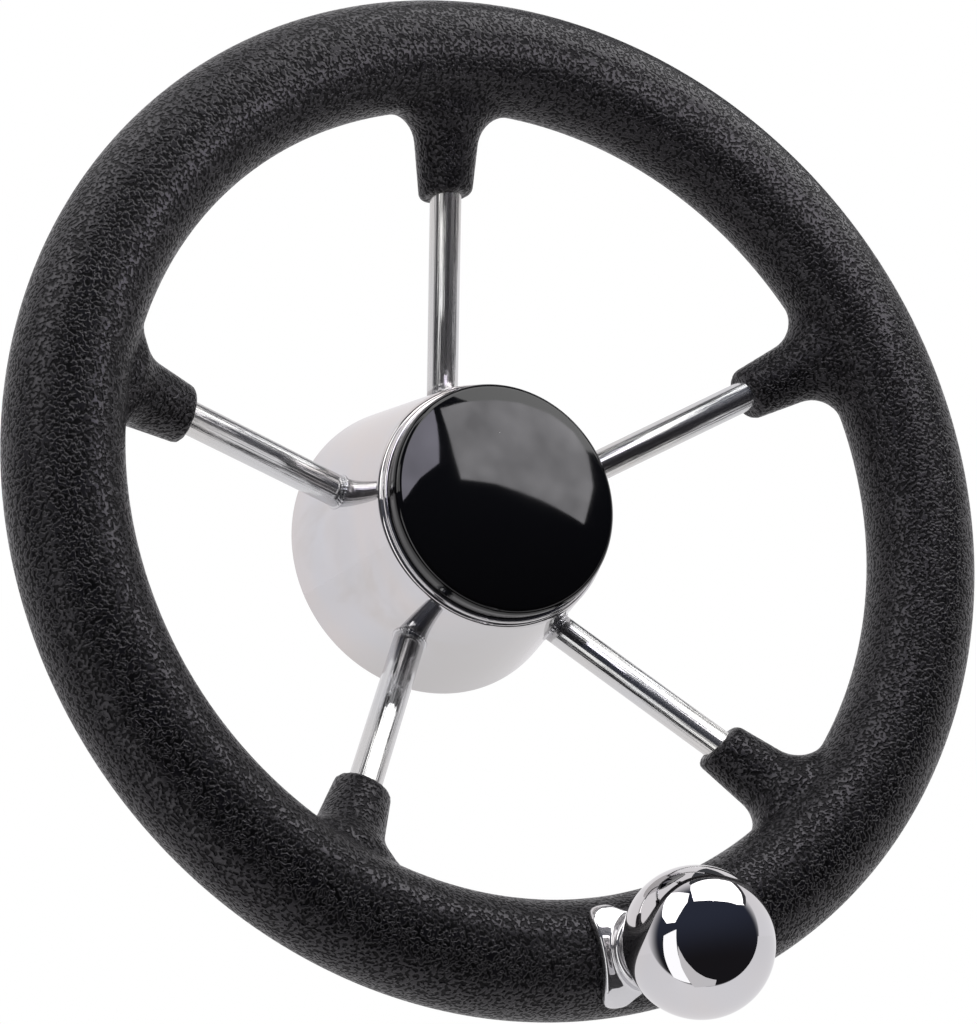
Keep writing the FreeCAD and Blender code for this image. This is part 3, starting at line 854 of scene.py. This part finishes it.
# Each near card has its middle, its two directions, its brightness, its colour and its outline
NEAR_CARDS = {
    "near_right": ((95.9, -186.8, 85.4), (-0.866, -0.5, 0), (-0.203, 0.352, 0.914),
                   3.7, (1, 0.98, 1.02), NEAR_RIGHT),
    "near_left": ((28.8, -98.2 + RIM_Y, 45.0), (-0.966, -0.259, 0), (-0.097, 0.362, 0.927),
                  3.6, (0.96, 0.93, 1.1), NEAR_LEFT),
}
NEAR_CLOTH = 0.22

# Small reflectors that the spokes show: spoke, distance, brightness and outline seen from the spoke
REFLECTORS = {
    "reflector_right": (4, 200, 2.6, [(-159, 14), (-150, 12), (-146, 50), (-156, 50)]),
    "reflector_top": (0, 100, 1.6, [(-141, -28), (-126, -28), (-126, -8), (-141, -8)]),
}
REFLECTOR_AIM = 60.0


def make_camera():
    """The camera at the photograph's place and angle."""
    data = bpy.data.cameras.new("camera")
    camera = bpy.data.objects.new("camera", data)
    bpy.context.scene.collection.objects.link(camera)
    turn = Matrix((CAMERA_RIGHT, CAMERA_UP, -Vector(CAMERA_AHEAD))).transposed()
    camera.matrix_world = Matrix.Translation(Vector(CAMERA_PLACE) * MM) @ turn.to_4x4()
    data.lens = CAMERA_LENS
    data.sensor_width = 36.0
    data.shift_x, data.shift_y = CAMERA_SHIFT
    data.clip_start = 0.01
    data.clip_end = 50
    bpy.context.scene.camera = camera


def make_world():
    """White tent with the dark room in front of the object, where the camera stands."""
    world = bpy.data.worlds.new("studio")
    bpy.context.scene.world = world
    world.use_nodes = True
    tree = world.node_tree
    tree.nodes.clear()

    def node(kind, **values):
        made = tree.nodes.new(kind)
        for key, value in values.items():
            setattr(made, key, value)
        return made

    toward = node("ShaderNodeTexCoord").outputs["Generated"]

    def cone(axis, low, high):
        dot = node("ShaderNodeVectorMath", operation="DOT_PRODUCT")
        tree.links.new(toward, dot.inputs[0])
        dot.inputs[1].default_value = axis
        edge = node("ShaderNodeMapRange", interpolation_type="SMOOTHSTEP")
        edge.inputs["From Min"].default_value = low
        edge.inputs["From Max"].default_value = high
        tree.links.new(dot.outputs["Value"], edge.inputs["Value"])
        return edge.outputs["Result"]

    def combine(operation, first, second):
        made = node("ShaderNodeMath", operation=operation)
        feed(tree, made.inputs[0], first)
        feed(tree, made.inputs[1], second)
        return made.outputs[0]

    room = cone(ROOM_TOWARD, -ROOM_SOFTNESS, ROOM_SOFTNESS)
    room = combine("MULTIPLY", room, cone(LEFT_TOWARD, LEFT_WHITE, LEFT_DARK))
    shade = node("ShaderNodeMix", data_type="RGBA")
    shade.inputs[6].default_value = (*ROOM_BELOW, 1)
    shade.inputs[7].default_value = (*ROOM_ABOVE, 1)
    tree.links.new(cone((0, 0, 1), -0.5, 0.7), shade.inputs["Factor"])
    mix = node("ShaderNodeMix", data_type="RGBA")
    mix.inputs[6].default_value = (*TENT_COLOUR, 1)
    tree.links.new(shade.outputs[2], mix.inputs[7])
    tree.links.new(room, mix.inputs["Factor"])
    path = node("ShaderNodeLightPath")
    camera = node("ShaderNodeMix", data_type="RGBA")
    camera.inputs[7].default_value = (1, 1, 1, 1)
    tree.links.new(path.outputs["Is Camera Ray"], camera.inputs["Factor"])
    tree.links.new(mix.outputs[2], camera.inputs[6])
    background = node("ShaderNodeBackground")
    tree.links.new(camera.outputs[2], background.inputs["Color"])
    seen = combine("MAXIMUM", path.outputs["Is Camera Ray"], path.outputs["Is Glossy Ray"])
    strength = node("ShaderNodeMapRange")
    strength.inputs["To Min"].default_value = TENT_SHARE
    tree.links.new(seen, strength.inputs["Value"])
    tree.links.new(strength.outputs["Result"], background.inputs["Strength"])
    output = node("ShaderNodeOutputWorld")
    tree.links.new(background.outputs[0], output.inputs["Surface"])


def make_floor():
    """Pale floor below and behind the object: it glows for the camera and in reflections, and is shaded."""
    mesh = bpy.data.meshes.new("floor")
    ahead = Vector((math.sin(FLOOR_TURN), math.cos(FLOOR_TURN), 0))
    aside = Vector((ahead.y, -ahead.x, 0))
    edge = Vector((0, BALL_Y * MM, FLOOR_Z)) - ahead * FLOOR_EDGE
    near_right = edge + aside * FLOOR_SIZE
    near_left = edge - aside * FLOOR_SIZE
    far_right = near_right + ahead * FLOOR_SIZE
    far_left = near_left + ahead * FLOOR_SIZE
    mesh.from_pydata([near_left, near_right, far_right, far_left], [], [(0, 1, 2, 3)])
    floor = bpy.data.objects.new("floor", mesh)
    bpy.context.scene.collection.objects.link(floor)
    material = bpy.data.materials.new("pale_floor")
    material.use_nodes = True
    tree = material.node_tree
    shader = tree.nodes["Principled BSDF"]
    shader.inputs["Base Color"].default_value = (0.86, 0.86, 0.86, 1)
    shader.inputs["Roughness"].default_value = 0.9
    shader.inputs["Specular IOR Level"].default_value = 0.1
    glow = tree.nodes.new("ShaderNodeEmission")
    path = tree.nodes.new("ShaderNodeLightPath")
    strength = tree.nodes.new("ShaderNodeMapRange")
    glow.inputs["Color"].default_value = (*FLOOR_GLOW, 1)
    strength.inputs["To Min"].default_value = FLOOR_REFLECTED
    strength.inputs["To Max"].default_value = FLOOR_SEEN
    tree.links.new(path.outputs["Is Camera Ray"], strength.inputs["Value"])
    tree.links.new(strength.outputs["Result"], glow.inputs["Strength"])
    both = tree.nodes.new("ShaderNodeMixShader")
    share = tree.nodes.new("ShaderNodeMath")
    share.operation = "MULTIPLY"
    share.inputs[1].default_value = FLOOR_GLOW_SHARE
    seen = tree.nodes.new("ShaderNodeMath")
    seen.operation = "MAXIMUM"
    tree.links.new(path.outputs["Is Camera Ray"], seen.inputs[0])
    tree.links.new(path.outputs["Is Glossy Ray"], seen.inputs[1])
    tree.links.new(seen.outputs[0], share.inputs[0])
    tree.links.new(share.outputs[0], both.inputs["Fac"])
    tree.links.new(shader.outputs[0], both.inputs[1])
    tree.links.new(glow.outputs[0], both.inputs[2])
    tree.links.new(both.outputs[0], tree.nodes["Material Output"].inputs["Surface"])
    mesh.materials.append(material)


def direction(azimuth, elevation):
    """Unit direction: azimuth from +Y towards +X, elevation up, in degrees."""
    a, e = math.radians(azimuth), math.radians(elevation)
    return Vector((math.sin(a) * math.cos(e), math.cos(a) * math.cos(e), math.sin(e)))


def make_card(name, corners, colour, strength, lights=True, cloth=0.0):
    """Flat glowing or dark card with these corners in millimetres; the camera itself doesn't see it."""
    mesh = bpy.data.meshes.new(name)
    mesh.from_pydata([Vector(corner) * MM for corner in corners], [], [list(range(len(corners)))])
    card = bpy.data.objects.new(name, mesh)
    bpy.context.scene.collection.objects.link(card)
    card.visible_camera = False
    card.visible_diffuse = lights
    card.visible_shadow = lights
    material = bpy.data.materials.new(name)
    material.use_nodes = True
    tree = material.node_tree
    tree.nodes.clear()
    glow = tree.nodes.new("ShaderNodeEmission")
    glow.inputs["Color"].default_value = (*colour, 1)
    glow.inputs["Strength"].default_value = strength
    if cloth:
        folds = tree.nodes.new("ShaderNodeTexNoise")
        folds.inputs["Scale"].default_value = 22
        folds.inputs["Detail"].default_value = 2
        shade = tree.nodes.new("ShaderNodeMapRange")
        shade.inputs["From Min"].default_value = 0.32
        shade.inputs["From Max"].default_value = 0.68
        shade.inputs["To Min"].default_value = strength * (1 - cloth)
        shade.inputs["To Max"].default_value = strength * (1 + cloth)
        place = tree.nodes.new("ShaderNodeTexCoord")
        tree.links.new(place.outputs["Object"], folds.inputs["Vector"])
        tree.links.new(folds.outputs["Fac"], shade.inputs["Value"])
        tree.links.new(shade.outputs["Result"], glow.inputs["Strength"])
    output = tree.nodes.new("ShaderNodeOutputMaterial")
    tree.links.new(glow.outputs[0], output.inputs["Surface"])
    mesh.materials.append(material)


def flat_outline(eye, distance, directions):
    """Corners of the flat outline that shows in these (azimuth, elevation) directions from a point."""
    ways = [direction(*pair) for pair in directions]
    middle = sum(ways, Vector()).normalized()
    return [eye + way * (distance / way.dot(middle)) for way in ways]


def make_lights():
    """The light boxes and reflectors, as flat cards."""
    ball = Vector((0, BALL_Y, KNOB_Z))
    for name, (distance, strength, colour, outline, lights) in BALL_CARDS.items():
        make_card(name, flat_outline(ball, distance, outline), colour, strength, lights)
    for name, (number, distance, strength, outline) in REFLECTORS.items():
        start, along, _, _ = spoke_frame(number)
        middle = Vector(start + REFLECTOR_AIM * along)
        corners = [middle + direction(*pair) * distance for pair in outline]
        make_card(name, corners, (1, 1, 1), strength, lights=False)
    for name, (middle, aside, up, strength, colour, outline) in NEAR_CARDS.items():
        corners = [Vector(middle) + Vector(aside) * u + Vector(up) * v for u, v in outline]
        make_card(name, corners, colour, strength, lights=False, cloth=NEAR_CLOTH)


def main():
    """Builds the studio, the pieces and their materials."""
    make_camera()
    make_world()
    make_floor()
    make_lights()
    foam = foam_material()
    mirror = polished_material("polished_fitting", (0.70, 0.695, 0.70), 0.02, 0.05, 0.00002, haze=0.2)
    tube = tube_material()
    bell = polished_material("polished_bell", (0.73, 0.715, 0.71), 0.03, 0.10, 0.00003,
                             heat=True, haze=0.12, stains=2.0)
    ball = polished_material("polished_ball", (0.675, 0.665, 0.67), 0.015, 0.03, 0.00001)
    steel = plain_steel_material()
    black = cap_material()
    rubber = rubber_material()
    paint(make_grip(), foam)
    for number in range(SPOKES):
        paint(make_spoke(number), tube)
        paint(make_weld(number), mirror)
    paint(make_bell(), bell)
    paint(make_cap(), black)
    paint(make_ball(), ball)
    paint(make_base(), mirror)
    by_slot = {"plain_steel": steel, "polished_steel": mirror, "ring_rubber": rubber,
               "grip_foam": foam, "black_plastic": black}
    slots = {part["node"]: part["material_slot"] for part in frame["record"]["subparts"]}
    for name, node in frame["nodes"].items():
        paint(node, by_slot[slots[name]])
    bpy.context.scene.view_settings.view_transform = "Standard"


main()
